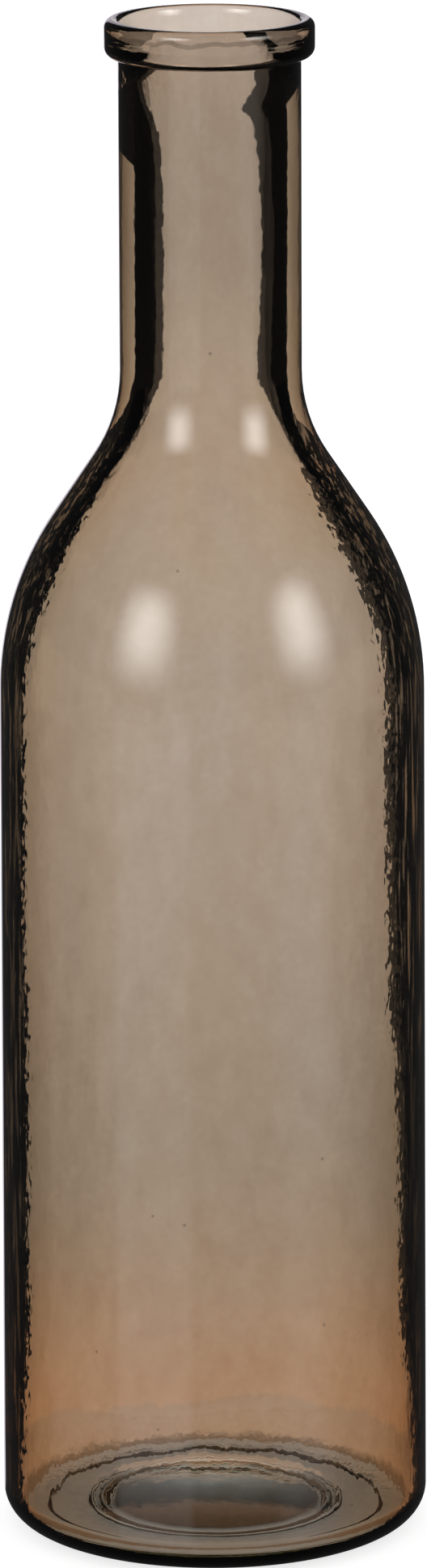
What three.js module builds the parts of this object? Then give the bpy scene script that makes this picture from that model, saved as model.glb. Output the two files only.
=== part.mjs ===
// A tall glass bottle vase: the moulded vessel, and the collar of glass round its mouth.
// Sizes are in millimetres. The bottle stands on z = 0 with its axis along Z.

import * as THREE from 'three';

// Outside of the vessel
const bottleHeight = 500;
const bodyRadius = 70;
const bodyTaper = 1;
const neckRadius = 29.4;
const neckLength = 101.5;
const flareRadius = 50;
const shoulderArcRadius = 103;
const shoulderSlopeDegrees = 34;
const heelRadius = 11;

// Collar round the mouth
const collarHeight = 12.5;
const collarOverhang = 4.4;
const collarTopRound = 2.8;
const collarUnderRound = 3.4;
const lipWidth = 5;
const lipRound = 2;
const seatGap = 0.3;

// Wall of glass
const bodyWall = 5;
const neckWall = 9.4;
const mouthFlareLength = 46;

// Base: a standing ring, a recess inside it, two mould rings and the punt
const standingRingWidth = 3.5;
const recessDepth = 2;
const recessEdgeWidth = 2;
const recessWidth = 13;
const mouldRingRadius = 0.9;
const mouldRingPitch = 3.6;
const puntRise = 3.5;
const baseEdgeThickness = 6.5;
const floorRise = 5.5;
const innerCornerRadius = 5;

// Faces round the axis, and steps along each curve
const facesAround = 56;
const heelSteps = 6;
const shoulderSteps = 9;
const flareSteps = 8;
const domeSteps = 6;
const cornerSteps = 5;
const mouthSteps = 6;
const ringSteps = 4;

// Heights and radii that follow from the sizes above
const seatHeight = bottleHeight - collarHeight;
const neckFootHeight = seatHeight - neckLength;
const boreRadius = neckRadius - neckWall;
const collarRadius = neckRadius + collarOverhang;
const shoulderRadius = bodyRadius - bodyTaper;
const mouthRadius = collarRadius - lipWidth;
const mouthTopHeight = bottleHeight - lipRound;
const mouthFlareStart = mouthTopHeight - mouthFlareLength;
const standingRingOuter = bodyRadius - heelRadius;
const standingRingInner = standingRingOuter - standingRingWidth;
const recessOuter = standingRingInner - recessEdgeWidth;
const mouldRingOuter = recessOuter - recessWidth;
const mouldRingInner = mouldRingOuter - mouldRingPitch;
const puntRadius = mouldRingInner - mouldRingRadius;
const innerFloorRadius = bodyRadius - bodyWall - innerCornerRadius;

// The shoulder's slope is a straight line between two arcs. On a slim bottle the arcs
// shrink, so that they still fit between the neck and the body.
const slope = THREE.MathUtils.degToRad(shoulderSlopeDegrees);
const shoulderReach = shoulderRadius - neckRadius;
const arcReach = (shoulderArcRadius + flareRadius) * (1 - Math.cos(slope));
const arcLimit = Math.min(1, shoulderReach / arcReach);
const shoulderArc = shoulderArcRadius * arcLimit;
const flareArc = flareRadius * arcLimit;
const slopeLength = (shoulderReach - arcReach * arcLimit) / Math.sin(slope);
const shoulderRise = (shoulderArc + flareArc) * Math.sin(slope) + slopeLength * Math.cos(slope);
const shoulderHeight = neckFootHeight - shoulderRise;

// Points of an arc in the plane of the profile, from one angle to another, in radians. The
// radius is a number, or a function of the share of the arc.
function arc(centreRadius, centreHeight, radius, from, to, steps) {
  const radiusAt = typeof radius === 'function' ? radius : () => radius;
  const points = [];
  for (let step = 0; step <= steps; step += 1) {
    const share = step / steps;
    const angle = from + (to - from) * share;
    const r = centreRadius + radiusAt(share) * Math.cos(angle);
    const z = centreHeight + radiusAt(share) * Math.sin(angle);
    points.push(new THREE.Vector2(r, z));
  }
  return points;
}

// Bore of the neck and mouth: straight, then opening ever faster towards the lip
function boreRadiusAt(height) {
  const share = Math.max(0, (height - mouthFlareStart) / mouthFlareLength);
  return boreRadius + (mouthRadius - boreRadius) * share ** 3;
}

// Points along the bore from one height to another
function bore(fromHeight, toHeight, steps) {
  const points = [];
  for (let step = 0; step <= steps; step += 1) {
    const height = fromHeight + (toHeight - fromHeight) * step / steps;
    points.push(new THREE.Vector2(boreRadiusAt(height), height));
  }
  return points;
}

// Shoulder and neck foot, upwards: a convex arc, the slope and a concave arc. The inside of
// the glass has the same arc centres, set in by a wall that thickens evenly on the way up.
function shoulderLine(wallBelow, wallAbove) {
  const lowerLength = shoulderArc * slope;
  const upperLength = flareArc * slope;
  const wholeLength = lowerLength + slopeLength + upperLength;
  const wallAt = (length) => wallBelow + (wallAbove - wallBelow) * length / wholeLength;
  const lowerRadius = (share) => shoulderArc - wallAt(lowerLength * share);
  const upperRadius = (share) => flareArc + wallAt(wholeLength - upperLength * (1 - share));
  const lowerArc = arc(
    shoulderRadius - shoulderArc, shoulderHeight, lowerRadius, 0, slope, shoulderSteps,
  );
  const upperArc = arc(
    neckRadius + flareArc, neckFootHeight, upperRadius, Math.PI + slope, Math.PI, flareSteps,
  );
  return [...lowerArc, ...upperArc];
}

// A surface that domes up towards the axis, outwards from it
function dome(radius, edgeHeight, rise) {
  const points = [];
  for (let step = 0; step < domeSteps; step += 1) {
    const r = radius * step / domeSteps;
    const z = edgeHeight + rise * (1 - (r / radius) ** 2);
    points.push(new THREE.Vector2(r, z));
  }
  points.push(new THREE.Vector2(radius, edgeHeight));
  return points;
}

// Underside, outwards: the punt, two half-round mould rings, the recess and the standing ring
function underside() {
  const innerRing = arc(mouldRingInner, recessDepth, mouldRingRadius, Math.PI, 2 * Math.PI, ringSteps);
  const outerRing = arc(mouldRingOuter, recessDepth, mouldRingRadius, Math.PI, 2 * Math.PI, ringSteps);
  return [
    ...dome(puntRadius, recessDepth, puntRise),
    ...innerRing.slice(1),
    ...outerRing,
    new THREE.Vector2(recessOuter, recessDepth),
    new THREE.Vector2(standingRingInner, 0),
  ];
}

// The inside, downwards: the bore, the shoulder, the wall, the corner and the domed floor
function inside() {
  const mouth = bore(mouthFlareStart, seatHeight, mouthSteps).reverse();
  const shoulder = shoulderLine(bodyWall, neckWall).reverse();
  const cornerHeight = baseEdgeThickness + innerCornerRadius;
  const corner = arc(
    innerFloorRadius, cornerHeight, innerCornerRadius, 0, -Math.PI / 2, cornerSteps,
  );
  const floor = dome(innerFloorRadius, baseEdgeThickness, floorRise).reverse();
  return [...mouth, ...shoulder, ...corner, ...floor.slice(1)];
}

// The whole section of the vessel, from the axis below to the axis inside
function vesselProfile() {
  const heel = arc(standingRingOuter, heelRadius, heelRadius, -Math.PI / 2, 0, heelSteps);
  return [
    ...underside(),
    ...heel,
    ...shoulderLine(0, 0),
    new THREE.Vector2(neckRadius, seatHeight),
    ...inside(),
  ];
}

// The section of the collar: its flat seat, rounded outside, crown, rounded lip and bore
function collarProfile() {
  const seat = seatHeight + seatGap;
  const under = arc(
    collarRadius - collarUnderRound, seat + collarUnderRound, collarUnderRound,
    -Math.PI / 2, 0, cornerSteps,
  );
  const top = arc(
    collarRadius - collarTopRound, bottleHeight - collarTopRound, collarTopRound,
    0, Math.PI / 2, cornerSteps,
  );
  const lip = arc(
    mouthRadius + lipRound, mouthTopHeight, lipRound, Math.PI / 2, Math.PI, cornerSteps,
  );
  const throat = bore(seat, mouthTopHeight, cornerSteps).reverse();
  const section = [...under, ...top, ...lip, ...throat.slice(1)];
  return [...section, section[0].clone()];
}

// Turns a profile round the Z axis into a named piece
function turned(name, profile, material) {
  const geometry = new THREE.LatheGeometry(profile, facesAround);
  geometry.rotateX(Math.PI / 2);
  const mesh = new THREE.Mesh(geometry, material);
  mesh.name = name;
  return mesh;
}

const vesselGlass = new THREE.MeshStandardMaterial({
  color: 0xa59482, roughness: 0.06, metalness: 0, transparent: true, opacity: 0.45,
});
const collarGlass = new THREE.MeshStandardMaterial({
  color: 0x8f8072, roughness: 0.05, metalness: 0, transparent: true, opacity: 0.5,
});

const group = new THREE.Group();
group.name = 'glass_bottle';
group.add(turned('bottle_body', vesselProfile(), vesselGlass));
group.add(turned('mouth_collar', collarProfile(), collarGlass));

export default group;
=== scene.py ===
# A tall bottle vase of heavy glass with a thin taupe coat, standing on a pale studio floor.
import math

import bpy
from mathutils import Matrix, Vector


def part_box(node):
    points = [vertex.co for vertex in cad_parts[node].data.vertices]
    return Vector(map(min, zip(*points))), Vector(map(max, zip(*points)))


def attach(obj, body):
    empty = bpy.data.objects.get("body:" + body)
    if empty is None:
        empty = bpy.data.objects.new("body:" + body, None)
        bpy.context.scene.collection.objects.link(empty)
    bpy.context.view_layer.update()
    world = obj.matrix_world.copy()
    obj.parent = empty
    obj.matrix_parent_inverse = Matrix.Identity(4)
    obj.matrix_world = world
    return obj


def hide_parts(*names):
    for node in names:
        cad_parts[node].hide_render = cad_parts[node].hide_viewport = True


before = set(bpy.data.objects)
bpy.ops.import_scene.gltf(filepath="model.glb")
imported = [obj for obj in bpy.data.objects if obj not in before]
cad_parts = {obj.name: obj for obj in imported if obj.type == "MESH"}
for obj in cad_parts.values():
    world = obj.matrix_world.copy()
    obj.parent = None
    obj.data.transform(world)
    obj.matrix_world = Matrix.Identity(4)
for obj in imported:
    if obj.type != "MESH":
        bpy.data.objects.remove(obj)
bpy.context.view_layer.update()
bpy.ops.object.select_all(action="DESELECT")

# The camera looks along +Y and down at the bottle. Its distance and height come from the
# ellipse of the mouth and the arc of the base in the photograph.
camera_distance = 2.82
camera_height = 0.9206
camera_pitch = math.radians(13.41)
camera_roll = math.radians(-0.23)
camera_aside = 0.00036
camera_lens = 204.1
bpy.ops.object.camera_add(location=(camera_aside, -camera_distance, camera_height))
camera = bpy.context.object
camera.name = "camera"
camera.rotation_mode = "ZYX"
camera.rotation_euler = (math.pi / 2 - camera_pitch, 0, camera_roll)
camera.data.lens = camera_lens
camera.data.sensor_width = 36
camera.data.clip_end = 60
bpy.context.scene.camera = camera

# The glass: one moulded vessel with its collar, of thick and faintly green glass. The section
# is drawn as a chain of edges from the punt, up the outside, over the lip and down the
# inside, and spun round the axis.
body_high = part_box("bottle_body")[1]
collar_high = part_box("mouth_collar")[1]
glass_height = collar_high[2]
body_radius = body_high[0]
body_taper = 0.001
shoulder_radius = body_radius - body_taper
neck_radius = 0.0294
collar_radius = collar_high[0]
neck_foot = 0.386
flare_arc = 0.050
shoulder_arc = 0.103
shoulder_slope = math.radians(34)
heel_radius = 0.011
collar_foot = body_high[2]
collar_top_round = 0.0028
collar_under_round = 0.0034
lip_round = 0.002
collar_join_round = 0.0006
mouth_radius = collar_radius - 0.005
body_wall = 0.005
neck_wall = 0.0094
bore_radius = neck_radius - neck_wall
mouth_flare = 0.046
ring_outer = body_radius - heel_radius
ring_inner = ring_outer - 0.0035
recess_depth = 0.002
recess_outer = ring_inner
mould_ring_outer = recess_outer - 0.015
mould_ring_inner = mould_ring_outer - 0.0036
mould_ring = 0.0009
mould_ring_share = 0.45
recess_fade = 0.0012
punt_radius = mould_ring_inner - mould_ring
punt_rise = 0.0025
floor_edge = 0.0065
floor_rise = 0.0030
floor_swell = 0.041
floor_flat_outer = 0.052
floor_flat_inner = 0.0436
swell_foot = 0.0425
swell_lift = 0.0003
corner_radius = 0.005
floor_radius = body_radius - body_wall - corner_radius
steps_around = 224
fine_step = 0.0019

shoulder_reach = shoulder_radius - neck_radius
slope_length = (
    shoulder_reach - (shoulder_arc + flare_arc) * (1 - math.cos(shoulder_slope))
) / math.sin(shoulder_slope)
shoulder_rise = (shoulder_arc + flare_arc) * math.sin(shoulder_slope)
shoulder_rise += slope_length * math.cos(shoulder_slope)
shoulder_height = neck_foot - shoulder_rise


def arc(centre_r, centre_z, radius, start, stop, step, growth=0):
    """Points on an arc of the section, whose radius may grow on the way."""
    count = max(2, math.ceil(abs(stop - start) * radius / step))
    points = []
    for i in range(count + 1):
        angle = start + (stop - start) * i / count
        reach = radius + growth * i / count
        points.append((centre_r + reach * math.cos(angle), centre_z + reach * math.sin(angle)))
    return points


def dome(radius, edge, rise, step):
    """Points on a shallow dome, from the axis outwards."""
    count = math.ceil(radius / step)
    radii = [radius * i / count for i in range(count + 1)]
    return [(r, edge + rise * (1 - (r / radius) ** 2)) for r in radii]


def bore_points(low, high, step):
    """Points up the bore, which opens ever faster towards the lip."""
    count = math.ceil((high - low) / step)
    points = []
    for i in range(count + 1):
        z = low + (high - low) * i / count
        share = max(0, (z - (high - mouth_flare)) / mouth_flare)
        points.append((bore_radius + (mouth_radius - bore_radius) * share**3, z))
    return points


def straight(start, stop, step):
    """Points on a straight run, without its two ends."""
    count = math.ceil(math.dist(start, stop) / step)
    return [
        (start[0] + (stop[0] - start[0]) * i / count, start[1] + (stop[1] - start[1]) * i / count)
        for i in range(1, count)
    ]


def shoulder(wall_below, wall_above, step):
    """The shoulder and the neck's foot, upwards: an arc, the slope and an arc the other way.
    The inside is set in by a wall that thickens evenly."""
    length = (shoulder_arc + flare_arc) * shoulder_slope + slope_length
    per_metre = (wall_above - wall_below) / length
    lower_growth = per_metre * shoulder_arc * shoulder_slope
    upper_growth = per_metre * flare_arc * shoulder_slope
    lower = arc(
        shoulder_radius - shoulder_arc, shoulder_height, shoulder_arc - wall_below,
        0, shoulder_slope, step, -lower_growth,
    )
    upper = arc(
        neck_radius + flare_arc, neck_foot, flare_arc + wall_above - upper_growth,
        math.pi + shoulder_slope, math.pi, step, upper_growth,
    )
    return lower + straight(lower[-1], upper[0], step) + upper


coarse_step = 0.004
edge_gap = 0.0003
underside = dome(punt_radius, recess_depth, punt_rise, coarse_step)
for ring in (mould_ring_inner, mould_ring_outer):
    around = arc(ring, 0, mould_ring, math.pi, 2 * math.pi, 0.0004)
    underside += [(r, recess_depth + mould_ring_share * z) for r, z in around]
    underside.append((ring + mould_ring + edge_gap, recess_depth))
    if ring == mould_ring_inner:
        underside.append((mould_ring_outer - mould_ring - edge_gap, recess_depth))
underside.append((recess_outer - recess_fade - edge_gap, recess_depth))
for i in range(9):
    r = recess_outer - recess_fade * (1 - i / 8)
    underside.append((r, recess_depth * (1 + math.cos(math.pi * i / 8)) / 2))
underside += [(recess_outer + edge_gap, 0), (ring_outer - edge_gap, 0)]
outside = arc(ring_outer, heel_radius, heel_radius, -math.pi / 2, 0, 0.0014)
outside += straight(outside[-1], (shoulder_radius, shoulder_height), 0.02)
outside += shoulder(0, 0, coarse_step)
outside += straight(outside[-1], (neck_radius, collar_foot), 0.02)
outside += arc(
    neck_radius + collar_join_round, collar_foot - collar_join_round, collar_join_round,
    math.pi, math.pi / 2, 0.0003,
)
outside += arc(
    collar_radius - collar_under_round, collar_foot + collar_under_round, collar_under_round,
    -math.pi / 2, 0, 0.0008,
)
outside += arc(
    collar_radius - collar_top_round, glass_height - collar_top_round, collar_top_round,
    0, math.pi / 2, 0.0007,
)
lip = arc(
    mouth_radius + lip_round, glass_height - lip_round, lip_round,
    math.pi / 2, math.pi, 0.0006,
)
inside = bore_points(neck_foot, glass_height - lip_round, fine_step)[::-1][1:]
inside += shoulder(body_wall, neck_wall, fine_step)[::-1][1:]
wall_foot = (body_radius - body_wall, floor_edge + corner_radius)
inside += straight(inside[-1], wall_foot, fine_step)
inside += arc(floor_radius, wall_foot[1], corner_radius, 0, -math.pi / 2, 0.0012)
inside += [(floor_radius - edge_gap, floor_edge)]
inside += [(floor_flat_outer, floor_edge), (floor_flat_inner, floor_edge)]
inside += [(swell_foot, floor_edge + 0.0001)]
inside += dome(floor_swell, floor_edge + swell_lift, floor_rise - swell_lift, 0.003)[::-1]
section = underside + outside + lip + inside

bpy.ops.mesh.primitive_plane_add(size=0.01)
glass = bpy.context.object
glass.name = "glass"
glass.data.name = "glass"
bpy.ops.object.mode_set(mode="EDIT")
bpy.ops.mesh.merge(type="CENTER")
bpy.ops.transform.translate(value=(section[0][0], 0, section[0][1]))
for here, there in zip(section, section[1:]):
    bpy.ops.mesh.extrude_region_move(
        TRANSFORM_OT_translate={"value": (there[0] - here[0], 0, there[1] - here[1])}
    )
bpy.ops.mesh.select_all(action="SELECT")
bpy.ops.mesh.spin(steps=steps_around, angle=2 * math.pi, center=(0, 0, 0), axis=(0, 0, 1))
bpy.ops.mesh.select_all(action="SELECT")
bpy.ops.mesh.remove_doubles(threshold=0.00001)
bpy.ops.mesh.normals_make_consistent(inside=False)
bpy.ops.object.mode_set(mode="OBJECT")
bpy.ops.object.shade_smooth()

# Marks the outside, which carries the coat down to its frayed foot, the inside, whose wall is
# wavy, and the floor's corner at the back, which is ragged. The underside has no coat.
least_wall = 0.0025
corner_zone = 0.013
ragged_top = 0.0117
wavy_from = 0.010
wavy_over = 0.02
base_zone = 0.01
coat_foot = 0.003
back_depth = 0.03
hair = 0.0001
outside_line = [p for p in outside if p[1] > heel_radius]


def outer_radius(z):
    """The outside's radius at a height."""
    for low, high in zip(outside_line, outside_line[1:]):
        if low[1] <= z <= high[1] and high[1] > low[1]:
            return low[0] + (high[0] - low[0]) * (z - low[1]) / (high[1] - low[1])
    return body_radius


inner_points = []
coat_levels = []
outside_levels = []
corner_levels = []
for vertex in glass.data.vertices:
    x, y, z = vertex.co
    radius = math.hypot(x, y)
    wall = outer_radius(z) - radius
    inner = wall > least_wall and z > floor_edge - 0.001
    if z < corner_zone and inner:
        inner = radius < floor_radius + corner_radius + hair and z >= floor_edge - hair
    if inner:
        ease = min(1, (glass_height - z) / wavy_over, max(0, (z - wavy_from) / wavy_over))
        inner_points.append((vertex.index, ease))
    below = radius < ring_outer and z < base_zone
    coat_levels.append(0.0 if inner or below else min(1, z / coat_foot))
    at_back = min(1, max(0, y / back_depth))
    in_corner = inner and radius > floor_radius - 0.002 and z < ragged_top
    corner_levels.append(at_back if in_corner else 0.0)
    in_recess = radius < ring_inner + 0.001 and z < base_zone
    outside_levels.append(0.0 if inner or in_recess else 1.0)
wavy = glass.vertex_groups.new(name="inside")
for index, ease in inner_points:
    wavy.add([index], ease, "REPLACE")
coat = glass.data.attributes.new("coat", "FLOAT", "POINT")
coat.data.foreach_set("value", coat_levels)
corner_mark = glass.data.attributes.new("corner", "FLOAT", "POINT")
corner_mark.data.foreach_set("value", corner_levels)
outside_mark = glass.data.attributes.new("outside", "FLOAT", "POINT")
outside_mark.data.foreach_set("value", outside_levels)

for name, scale, strength in (
    ("thick_and_thin", 0.070, 0.0010),
    ("waves", 0.012, 0.00012),
):
    texture = bpy.data.textures.new(name, type="CLOUDS")
    texture.noise_scale = scale
    texture.noise_depth = 1
    displace = glass.modifiers.new(name, "DISPLACE")
    displace.texture = texture
    displace.texture_coords = "LOCAL"
    displace.vertex_group = "inside"
    displace.mid_level = 0.5
    displace.strength = strength
    bpy.ops.object.modifier_apply(modifier=name)

coated_glass = bpy.data.materials.new("coated_glass")
coated_glass.use_nodes = True
tree = coated_glass.node_tree
shader = tree.nodes["Principled BSDF"]
shader.inputs["IOR"].default_value = 1.5
shader.inputs["Roughness"].default_value = 0.0


def calc(tree, operation, *values):
    """The output of a math node on sockets or numbers."""
    node = tree.nodes.new("ShaderNodeMath")
    node.operation = operation
    for socket, value in zip(node.inputs, values):
        if isinstance(value, bpy.types.NodeSocket):
            tree.links.new(value, socket)
        else:
            socket.default_value = value
    return node.outputs["Value"]


def fade(tree, value, low, high, first=0, last=1):
    """A value carried from one range to another, and held at its ends."""
    node = tree.nodes.new("ShaderNodeMapRange")
    for name, number in zip(("From Min", "From Max", "To Min", "To Max"), (low, high, first, last)):
        node.inputs[name].default_value = number
    tree.links.new(value, node.inputs["Value"])
    return node.outputs["Result"]


def noise(tree, vector, scale, detail=1):
    """Cloudy noise round zero, about half a unit either way."""
    node = tree.nodes.new("ShaderNodeTexNoise")
    node.inputs["Scale"].default_value = scale
    node.inputs["Detail"].default_value = detail
    tree.links.new(vector, node.inputs["Vector"])
    return calc(tree, "SUBTRACT", node.outputs["Fac"], 0.5)


def stretched(tree, vector, upward):
    """Coordinates whose noise is drawn out along the height."""
    node = tree.nodes.new("ShaderNodeMapping")
    node.inputs["Scale"].default_value = (1, 1, upward)
    tree.links.new(vector, node.inputs["Vector"])
    return node.outputs["Vector"]


def by_height(tree, height, steps):
    """A colour ramp over the bottle's height."""
    ramp = tree.nodes.new("ShaderNodeValToRGB")
    elements = ramp.color_ramp.elements
    elements[0].position, elements[0].color = steps[0][0], (*steps[0][1], 1)
    elements[1].position, elements[1].color = steps[-1][0], (*steps[-1][1], 1)
    for share, colour in steps[1:-1]:
        elements.new(share).color = (*colour, 1)
    tree.links.new(height, ramp.inputs["Fac"])
    return ramp.outputs["Color"]


place = tree.nodes.new("ShaderNodeTexCoord").outputs["Object"]
split = tree.nodes.new("ShaderNodeSeparateXYZ")
tree.links.new(place, split.inputs["Vector"])
height = calc(tree, "DIVIDE", split.outputs["Z"], glass_height)
mark = tree.nodes.new("ShaderNodeAttribute")
mark.attribute_name = "coat"
facing = tree.nodes.new("ShaderNodeLayerWeight")
facing.inputs["Blend"].default_value = 0.5
slant = facing.outputs["Facing"]

# The coat's colour runs from orange at the foot to a greyer taupe, in soft patches. It deepens
# towards the bottle's edges, where the light goes a longer way through it. Its foot is frayed.
colour = by_height(tree, height, (
    (0.06, (0.520, 0.285, 0.165)),
    (0.22, (0.357, 0.275, 0.218)),
    (0.40, (0.432, 0.326, 0.260)),
    (0.62, (0.495, 0.378, 0.302)),
    (0.71, (0.578, 0.412, 0.325)),
    (0.84, (0.430, 0.313, 0.252)),
    (0.95, (0.430, 0.313, 0.252)),
    (0.98, (0.500, 0.355, 0.286)),
))
warmer = tree.nodes.new("ShaderNodeMix")
warmer.data_type = "RGBA"
warmer.blend_type = "MULTIPLY"
warmer.inputs["B"].default_value = (1.02, 0.97, 0.84, 1)
patches = noise(tree, stretched(tree, place, 0.35), 26)
warmth = calc(tree, "MULTIPLY_ADD", patches, 1.8, fade(tree, slant, 0.12, 0.5, 0.3, 1))
tree.links.new(warmth, warmer.inputs["Factor"])
tree.links.new(colour, warmer.inputs["A"])
clouds = noise(tree, stretched(tree, place, 0.6), 130, 4)
deepen = tree.nodes.new("ShaderNodeGamma")
longer = calc(tree, "MULTIPLY_ADD", calc(tree, "MULTIPLY", slant, slant), 2.1, 1)
tree.links.new(warmer.outputs["Result"], deepen.inputs["Color"])
mottled = calc(tree, "MULTIPLY_ADD", noise(tree, place, 420, 2), 0.16, longer)
tree.links.new(calc(tree, "MULTIPLY_ADD", clouds, 0.35, mottled), deepen.inputs["Gamma"])
tint = tree.nodes.new("ShaderNodeMix")
tint.data_type = "RGBA"
tint.inputs["A"].default_value = (1, 1, 1, 1)
tree.links.new(deepen.outputs["Color"], tint.inputs["B"])
frayed = calc(tree, "MULTIPLY_ADD", noise(tree, place, 260, 3), 0.8, mark.outputs["Fac"])
tree.links.new(fade(tree, frayed, 0.36, 0.46), tint.inputs["Factor"])

# The dark beside the bottle's edges is painted shade, set by the slant of the surface, between
# levels given for each height, left and right. It starts at a ragged line, first grey and then
# black. On the neck it is a band that ends before the edge.
side = fade(tree, split.outputs["X"], -0.01, 0.01)


def left_and_right(steps):
    """A slant that changes with the height and differs on the left and the right."""
    ramp = by_height(tree, height, tuple((share, (left, right, 0)) for share, left, right in steps))
    levels = tree.nodes.new("ShaderNodeSeparateColor")
    tree.links.new(ramp, levels.inputs["Color"])
    mixed = tree.nodes.new("ShaderNodeMix")
    tree.links.new(side, mixed.inputs["Factor"])
    tree.links.new(levels.outputs["Red"], mixed.inputs["A"])
    tree.links.new(levels.outputs["Green"], mixed.inputs["B"])
    return mixed.outputs["Result"]


dark_from = left_and_right((
    (0.0115, 0.10, 0.10),
    (0.0132, 0.46, 0.46),
    (0.018, 0.50, 0.50),
    (0.030, 0.62, 0.70),
    (0.100, 0.57, 0.64),
    (0.140, 0.54, 0.55),
    (0.330, 0.55, 0.51),
    (0.360, 0.55, 0.46),
    (0.560, 0.55, 0.44),
    (0.590, 0.52, 0.415),
    (0.640, 0.45, 0.37),
    (0.712, 0.46, 0.36),
    (0.724, 0.45, 0.365),
    (0.736, 0.34, 0.36),
    (0.748, 0.29, 0.27),
    (0.760, 0.22, 0.22),
    (0.776, 0.160, 0.150),
    (0.860, 0.150, 0.185),
    (0.925, 0.155, 0.150),
    (0.940, 0.20, 0.125),
    (0.950, 0.27, 0.070),
    (0.964, 0.36, 0.150),
    (0.974, 0.20, 0.150),
    (0.984, 0.30, 0.270),
    (0.990, 0.72, 0.640),
))
dark_until = left_and_right((
    (0.716, 1.20, 1.20),
    (0.726, 1.00, 0.84),
    (0.736, 0.74, 0.66),
    (0.748, 0.57, 0.46),
    (0.760, 0.52, 0.47),
    (0.776, 0.45, 0.47),
    (0.905, 0.44, 0.47),
    (0.912, 0.46, 0.48),
    (0.918, 0.95, 0.48),
    (0.940, 1.00, 0.47),
    (0.950, 0.95, 0.46),
    (0.962, 0.60, 0.90),
))
in_neck = fade(tree, height, 0.70, 0.77)
ragged = noise(tree, stretched(tree, place, 0.5), 620, 4)
ragged = calc(tree, "MULTIPLY", ragged, fade(tree, in_neck, 0, 1, 0.22, 0.055))
wander = calc(tree, "MULTIPLY", noise(tree, place, 22), 0.05)
shifted = calc(tree, "ADD", slant, wander)
past_edge = calc(tree, "SUBTRACT", shifted, dark_from)
# Painted glints: fine streaks where the painted dark is lifted, but not on the neck.
glints = noise(tree, stretched(tree, place, 0.12), 900, 2)
glint = calc(tree, "MULTIPLY", fade(tree, glints, 0.16, 0.24), calc(tree, "SUBTRACT", 1, in_neck))
grey = fade(tree, calc(tree, "ADD", past_edge, ragged), -0.004, 0.004, 1, 0.014)
grey = calc(tree, "MAXIMUM", grey, calc(tree, "MULTIPLY", glint, 0.3))
grey_width = calc(tree, "MULTIPLY_ADD", in_neck, 0.05, calc(tree, "MULTIPLY", side, 0.05))
deep = calc(tree, "ADD", calc(tree, "SUBTRACT", past_edge, grey_width), ragged)
black = fade(tree, deep, 0.0, 0.01, 1, 0.02)
black = calc(tree, "MAXIMUM", black, glint)
beyond = calc(tree, "ADD", calc(tree, "SUBTRACT", shifted, dark_until), ragged)
clear_again = fade(tree, beyond, -0.008, 0.008)
passing = calc(tree, "MAXIMUM", calc(tree, "MULTIPLY", grey, black), clear_again)
# Painted shade makes the very rim darker still.
rim = fade(tree, slant, 0.78, 0.88, 1, 0.05)
passing = calc(tree, "MULTIPLY", passing, rim)

# Pale streaks of painted light in the dark edges, where the coat turns partly diffuse; the wavy
# line inside the collar; and fine seeds.
painted_streak_share = left_and_right((
    (0.02, 0.0, 0.0),
    (0.06, 0.3, 0.1),
    (0.32, 0.3, 0.1),
    (0.35, 0.3, 1.0),
    (0.52, 0.4, 1.0),
    (0.60, 0.4, 0.4),
    (0.69, 0.4, 0.5),
    (0.70, 0.4, 1.0),
    (0.73, 0.0, 1.0),
    (0.75, 0.0, 0.0),
))
in_dark = calc(tree, "MULTIPLY", fade(tree, deep, 0.02, 0.08), fade(tree, slant, 0.80, 0.86, 1, 0))
painted_streak_noise = noise(tree, stretched(tree, place, 0.06), 520, 3)
painted_light_streak = calc(
    tree, "MULTIPLY", fade(tree, painted_streak_noise, 0.04, 0.16), calc(tree, "MULTIPLY", painted_streak_share, in_dark),
)
passing = calc(tree, "MAXIMUM", passing, calc(tree, "MULTIPLY", painted_light_streak, 0.6))
collar_line = 0.4963
wavy_height = calc(tree, "MULTIPLY_ADD", noise(tree, place, 130, 2), 0.0035, split.outputs["Z"])
off_line = calc(tree, "ABSOLUTE", calc(tree, "SUBTRACT", wavy_height, collar_line))
on_line = fade(tree, off_line, 0.0006, 0.0009, 1, 0)
passing = calc(tree, "MULTIPLY", passing, calc(tree, "MULTIPLY_ADD", on_line, -0.55, 1))
seeds = tree.nodes.new("ShaderNodeTexVoronoi")
seeds.inputs["Scale"].default_value = 110
tree.links.new(place, seeds.inputs["Vector"])
chosen = tree.nodes.new("ShaderNodeSeparateColor")
tree.links.new(seeds.outputs["Color"], chosen.inputs["Color"])
seed = calc(tree, "LESS_THAN", seeds.outputs["Distance"], 0.055)
seed = calc(tree, "MULTIPLY", seed, calc(tree, "GREATER_THAN", chosen.outputs["Red"], 0.8))
passing = calc(tree, "MULTIPLY", passing, calc(tree, "MULTIPLY_ADD", seed, -0.6, 1))
outer = tree.nodes.new("ShaderNodeAttribute")
outer.attribute_name = "outside"
surface = tree.nodes.new("ShaderNodeNewGeometry")
from_outside = calc(tree, "SUBTRACT", 1, surface.outputs["Backfacing"])
from_outside = calc(tree, "MULTIPLY", from_outside, outer.outputs["Fac"])
painted_light_streak = calc(tree, "MULTIPLY", painted_light_streak, from_outside)
tree.links.new(calc(tree, "MULTIPLY_ADD", painted_light_streak, -0.8, 1), shader.inputs["Transmission Weight"])
passing = calc(tree, "MULTIPLY_ADD", calc(tree, "SUBTRACT", passing, 1), from_outside, 1)
dimmed = tree.nodes.new("ShaderNodeVectorMath")
dimmed.operation = "SCALE"
tree.links.new(tint.outputs["Result"], dimmed.inputs[0])
tree.links.new(passing, dimmed.inputs["Scale"])
tree.links.new(dimmed.outputs["Vector"], shader.inputs["Base Color"])

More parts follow.
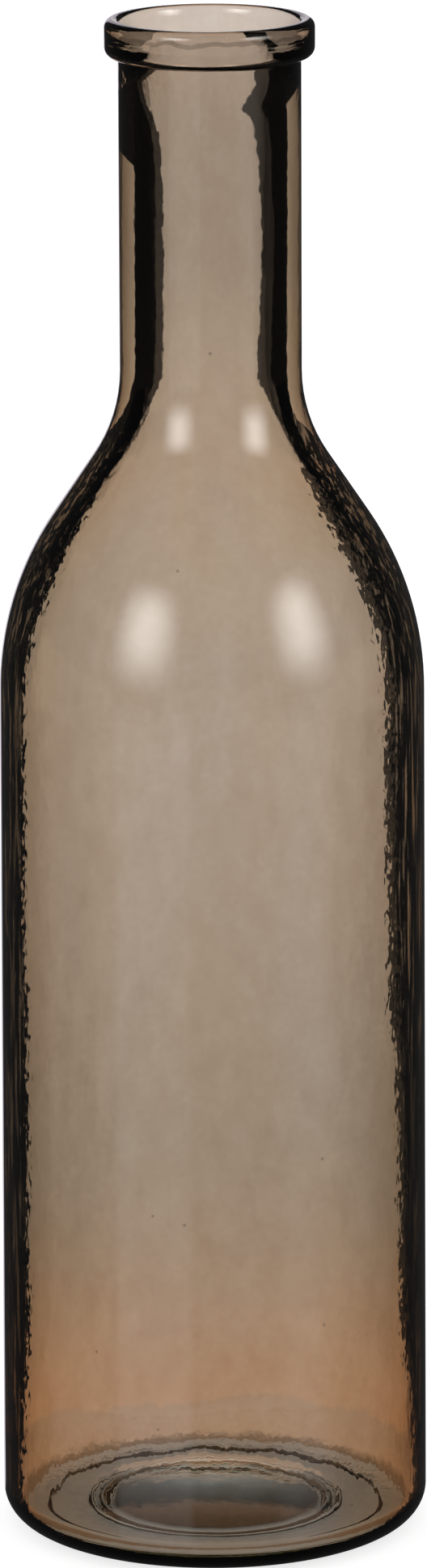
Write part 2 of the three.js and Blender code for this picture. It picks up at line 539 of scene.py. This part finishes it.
# The glass itself is faintly green, and its inside and base are rippled.
absorb = tree.nodes.new("ShaderNodeVolumeAbsorption")
absorb.inputs["Color"].default_value = (0.84, 0.88, 0.85, 1)
absorb.inputs["Density"].default_value = 80
tree.links.new(absorb.outputs["Volume"], tree.nodes["Material Output"].inputs["Volume"])
uncoated = calc(tree, "SUBTRACT", 1, mark.outputs["Fac"])
normal = None
corner = tree.nodes.new("ShaderNodeAttribute")
corner.attribute_name = "corner"
under_collar = calc(
    tree, "MULTIPLY", fade(tree, height, 0.948, 0.952), fade(tree, height, 0.968, 0.972, 1, 0),
)
rippled = calc(tree, "MULTIPLY", uncoated, fade(tree, height, 0.026, 0.05, 0.4, 1))
for fineness, rise, share in (
    (170, 0.00012, rippled),
    (520, 0.00003, rippled),
    (420, 0.0010, corner.outputs["Fac"]),
    (380, 0.00010, under_collar),
):
    relief = tree.nodes.new("ShaderNodeBump")
    relief.inputs["Distance"].default_value = rise
    tree.links.new(share, relief.inputs["Strength"])
    tree.links.new(noise(tree, stretched(tree, place, 0.5), fineness), relief.inputs["Height"])
    if normal:
        tree.links.new(normal, relief.inputs["Normal"])
    normal = relief.outputs["Normal"]
tree.links.new(normal, shader.inputs["Normal"])
glass.data.materials.append(coated_glass)

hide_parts("bottle_body", "mouth_collar")
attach(glass, "root")

# The floor: a wide matt white sheet. What the glass bends is the table below.
bpy.ops.mesh.primitive_circle_add(
    vertices=96, radius=14, fill_type="NGON", location=(0, 0, -0.0004),
)
floor = bpy.context.object
floor.name = "floor"
floor.visible_glossy = False
floor.visible_transmission = False
matt_white = bpy.data.materials.new("matt_white")
matt_white.use_nodes = True
shader = matt_white.node_tree.nodes["Principled BSDF"]
shader.inputs["Base Color"].default_value = (0.5, 0.5, 0.5, 1)
shader.inputs["Roughness"].default_value = 0.9
shader.inputs["Emission Color"].default_value = (1, 1, 1, 1)
shader.inputs["Emission Strength"].default_value = 0.76
floor.data.materials.append(matt_white)

# The table under the bottle, as the glass sees it: a glowing disc with a painted shadow, dark
# at the middle and paler outwards, and a painted tint of the light that has passed through the
# glass. The camera doesn't see it.
bpy.ops.mesh.primitive_circle_add(
    vertices=64, radius=0.13, fill_type="NGON", location=(0, 0, -0.0002),
)
table = bpy.context.object
table.name = "shaded_table"
table.visible_camera = False
table.visible_diffuse = False
table.visible_glossy = False
table.visible_shadow = False
table_painted_shadow = bpy.data.materials.new("table_painted_shadow")
table_painted_shadow.use_nodes = True
tree = table_painted_shadow.node_tree
shader = tree.nodes["Principled BSDF"]
shader.inputs["Base Color"].default_value = (0, 0, 0, 1)
shader.inputs["Roughness"].default_value = 1
shader.inputs["Specular IOR Level"].default_value = 0
spot = tree.nodes.new("ShaderNodeVectorMath")
spot.operation = "LENGTH"
behind = tree.nodes.new("ShaderNodeVectorMath")
behind.operation = "DISTANCE"
behind.inputs[1].default_value = (0, 0.006, 0)
place = tree.nodes.new("ShaderNodeTexCoord").outputs["Object"]
tree.links.new(place, behind.inputs[0])
split = tree.nodes.new("ShaderNodeSeparateXYZ")
tree.links.new(place, spot.inputs[0])
tree.links.new(place, split.inputs["Vector"])
across = split.outputs["Y"]
# Painted shadow under the punt: darker at the front, paler at the back and darker to the sides.
deepening = fade(tree, across, -0.020, 0.028)
under_punt = calc(
    tree, "MULTIPLY_ADD", calc(tree, "MULTIPLY", deepening, deepening), 0.55,
    fade(tree, across, 0.020, 0.038, 0, 0.40),
)
beside_middle = fade(tree, calc(tree, "ABSOLUTE", split.outputs["X"]), 0.006, 0.034, 1, 0.5)
under_punt = calc(tree, "MULTIPLY", under_punt, beside_middle)
round_punt = fade(tree, behind.outputs["Value"], 0.034, 0.040)
beside = fade(tree, spot.outputs["Value"], 0.062, 0.082)
sideways = calc(tree, "ABSOLUTE", calc(tree, "ARCTAN2", split.outputs["X"], across))
sideways = fade(tree, sideways, math.radians(35), math.radians(60), 0, 0.45)
far_out = calc(tree, "MULTIPLY", sideways, fade(tree, spot.outputs["Value"], 0.100, 0.125))
beside = calc(tree, "SUBTRACT", beside, far_out)
lit = tree.nodes.new("ShaderNodeMix")
lit.inputs["B"].default_value = 0.42
tree.links.new(round_punt, lit.inputs["Factor"])
tree.links.new(under_punt, lit.inputs["A"])
lit = calc(tree, "MAXIMUM", lit.outputs["Result"], beside)
tree.links.new(lit, shader.inputs["Emission Strength"])
# The painted tint: bluer light under the middle than further out.
hue = tree.nodes.new("ShaderNodeMix")
hue.data_type = "RGBA"
hue.inputs["A"].default_value = (0.56, 0.79, 1, 1)
hue.inputs["B"].default_value = (0.86, 0.93, 1, 1)
tree.links.new(fade(tree, spot.outputs["Value"], 0.030, 0.044), hue.inputs["Factor"])
tree.links.new(hue.outputs["Result"], shader.inputs["Emission Color"])
table.data.materials.append(table_painted_shadow)

# A pale screen behind the bottle, to the left: the glass mirrors it as a thin bright edge.
screen_glow = bpy.data.materials.new("screen_glow")
screen_glow.use_nodes = True
shader = screen_glow.node_tree.nodes["Principled BSDF"]
shader.inputs["Base Color"].default_value = (0, 0, 0, 1)
shader.inputs["Emission Color"].default_value = (0.86, 0.80, 0.88, 1)
shader.inputs["Emission Strength"].default_value = 1
bpy.ops.mesh.primitive_plane_add(size=1)
screen = bpy.context.object
screen.name = "screen"
screen.scale = (1.15, 3, 1)
screen.rotation_euler = (math.pi / 2, 0, 0)
screen.location = (-0.22, 3, 0.5)
bpy.ops.object.transform_apply(location=True, rotation=True, scale=True)
screen.data.materials.append(screen_glow)
screen.visible_camera = False
screen.visible_transmission = False
screen.visible_diffuse = False
screen.visible_shadow = False

# Two tall soft boxes in front of the bottle, whose light the glass mirrors.
soft_light = bpy.data.materials.new("soft_light")
soft_light.use_nodes = True
nodes = soft_light.node_tree.nodes
links = soft_light.node_tree.links
shader = nodes["Principled BSDF"]
shader.inputs["Base Color"].default_value = (0, 0, 0, 1)
shader.inputs["Emission Color"].default_value = (1, 0.98, 0.95, 1)
place = nodes.new("ShaderNodeTexCoord")
axes = nodes.new("ShaderNodeSeparateXYZ")
links.new(place.outputs["UV"], axes.inputs["Vector"])
level = nodes.new("ShaderNodeMath")
level.operation = "MULTIPLY"
for number, (axis, softness) in enumerate((("X", 0.50), ("Y", 0.42))):
    from_edge = nodes.new("ShaderNodeMath")
    from_edge.operation = "PINGPONG"
    from_edge.inputs[1].default_value = 0.5
    links.new(axes.outputs[axis], from_edge.inputs[0])
    soft_edge = nodes.new("ShaderNodeMapRange")
    soft_edge.interpolation_type = "SMOOTHSTEP"
    soft_edge.inputs["From Max"].default_value = softness
    soft_edge.inputs["To Max"].default_value = 2.9
    links.new(from_edge.outputs["Value"], soft_edge.inputs["Value"])
    links.new(soft_edge.outputs["Result"], level.inputs[number])
links.new(level.outputs["Value"], shader.inputs["Emission Strength"])
for name, angle in (("soft_box_left", -39), ("soft_box_right", 54)):
    turn = math.radians(angle)
    bpy.ops.mesh.primitive_plane_add(size=1)
    box = bpy.context.object
    box.name = name
    box.scale = (3.4, 3.5, 1)
    box.rotation_euler = (math.pi / 2, 0, turn)
    box.location = (4 * math.sin(turn), -4 * math.cos(turn), 1.95)
    bpy.ops.object.transform_apply(location=True, rotation=True, scale=True)
    box.data.materials.append(soft_light)
    box.visible_camera = False
    box.visible_transmission = False
    box.visible_diffuse = False
    box.visible_shadow = False

# The studio: white to the camera and an even light on the floor. The glass bends and mirrors
# a dark room with white panels instead, placed at listed bearings and elevations.
world = bpy.data.worlds.new("studio")
bpy.context.scene.world = world
world.use_nodes = True
tree = world.node_tree


def within(angle, low, high, soft=0.3):
    """One where an angle lies between two limits in degrees, and zero outside them."""
    middle = math.radians(low + high) / 2
    off_middle = calc(tree, "ABSOLUTE", calc(tree, "SUBTRACT", angle, middle))
    half = (high - low) / 2
    return fade(tree, off_middle, math.radians(half + soft), math.radians(half - soft))


def panel(left, right, low, high, brightness=1, soft=0.3):
    """A panel between two bearings and two elevations."""
    shape = calc(
        tree, "MULTIPLY", within(bearing, left, right, soft), within(elevation, low, high, soft),
    )
    return calc(tree, "MULTIPLY", shape, brightness)


def brightest(panels):
    """The brightest of some panels at each point."""
    best = panels[0]
    for other in panels[1:]:
        best = calc(tree, "MAXIMUM", best, other)
    return best


place = tree.nodes.new("ShaderNodeTexCoord")
split = tree.nodes.new("ShaderNodeSeparateXYZ")
tree.links.new(place.outputs["Generated"], split.inputs["Vector"])
bearing = calc(tree, "ARCTAN2", split.outputs["X"], split.outputs["Y"])
elevation = calc(tree, "ARCSINE", split.outputs["Z"])
off_quarter = calc(tree, "PINGPONG", bearing, math.radians(45))
bent = brightest([
    panel(-30, 26, -90, -4.5),
    panel(105, 185, -90, -4.5),
    panel(-185, -75, -90, -4.5),
    calc(tree, "MULTIPLY", within(off_quarter, -30, 30), within(elevation, -5.5, 9)),
    panel(-75, 75, -90, -4.5, 0.4),
    calc(tree, "MULTIPLY", within(elevation, 24, 62), 0.6),
])
mirrored = brightest([
    panel(-167.5, -126, -25, -5, 0.5, 2.5),
    panel(116, 144, -25, -5, 0.4, 6),
    0.035,
])
ray = tree.nodes.new("ShaderNodeLightPath")
level = fade(tree, ray.outputs["Is Camera Ray"], 0, 1, 0.75, 1)
for kind, light in (("Is Glossy Ray", mirrored), ("Is Transmission Ray", bent)):
    choice = tree.nodes.new("ShaderNodeMix")
    tree.links.new(ray.outputs[kind], choice.inputs["Factor"])
    tree.links.new(level, choice.inputs["A"])
    tree.links.new(light, choice.inputs["B"])
    level = choice.outputs["Result"]
backdrop = tree.nodes["Background"]
backdrop.inputs["Color"].default_value = (1, 1, 1, 1)
tree.links.new(level, backdrop.inputs["Strength"])

bpy.context.scene.view_settings.view_transform = "Standard"
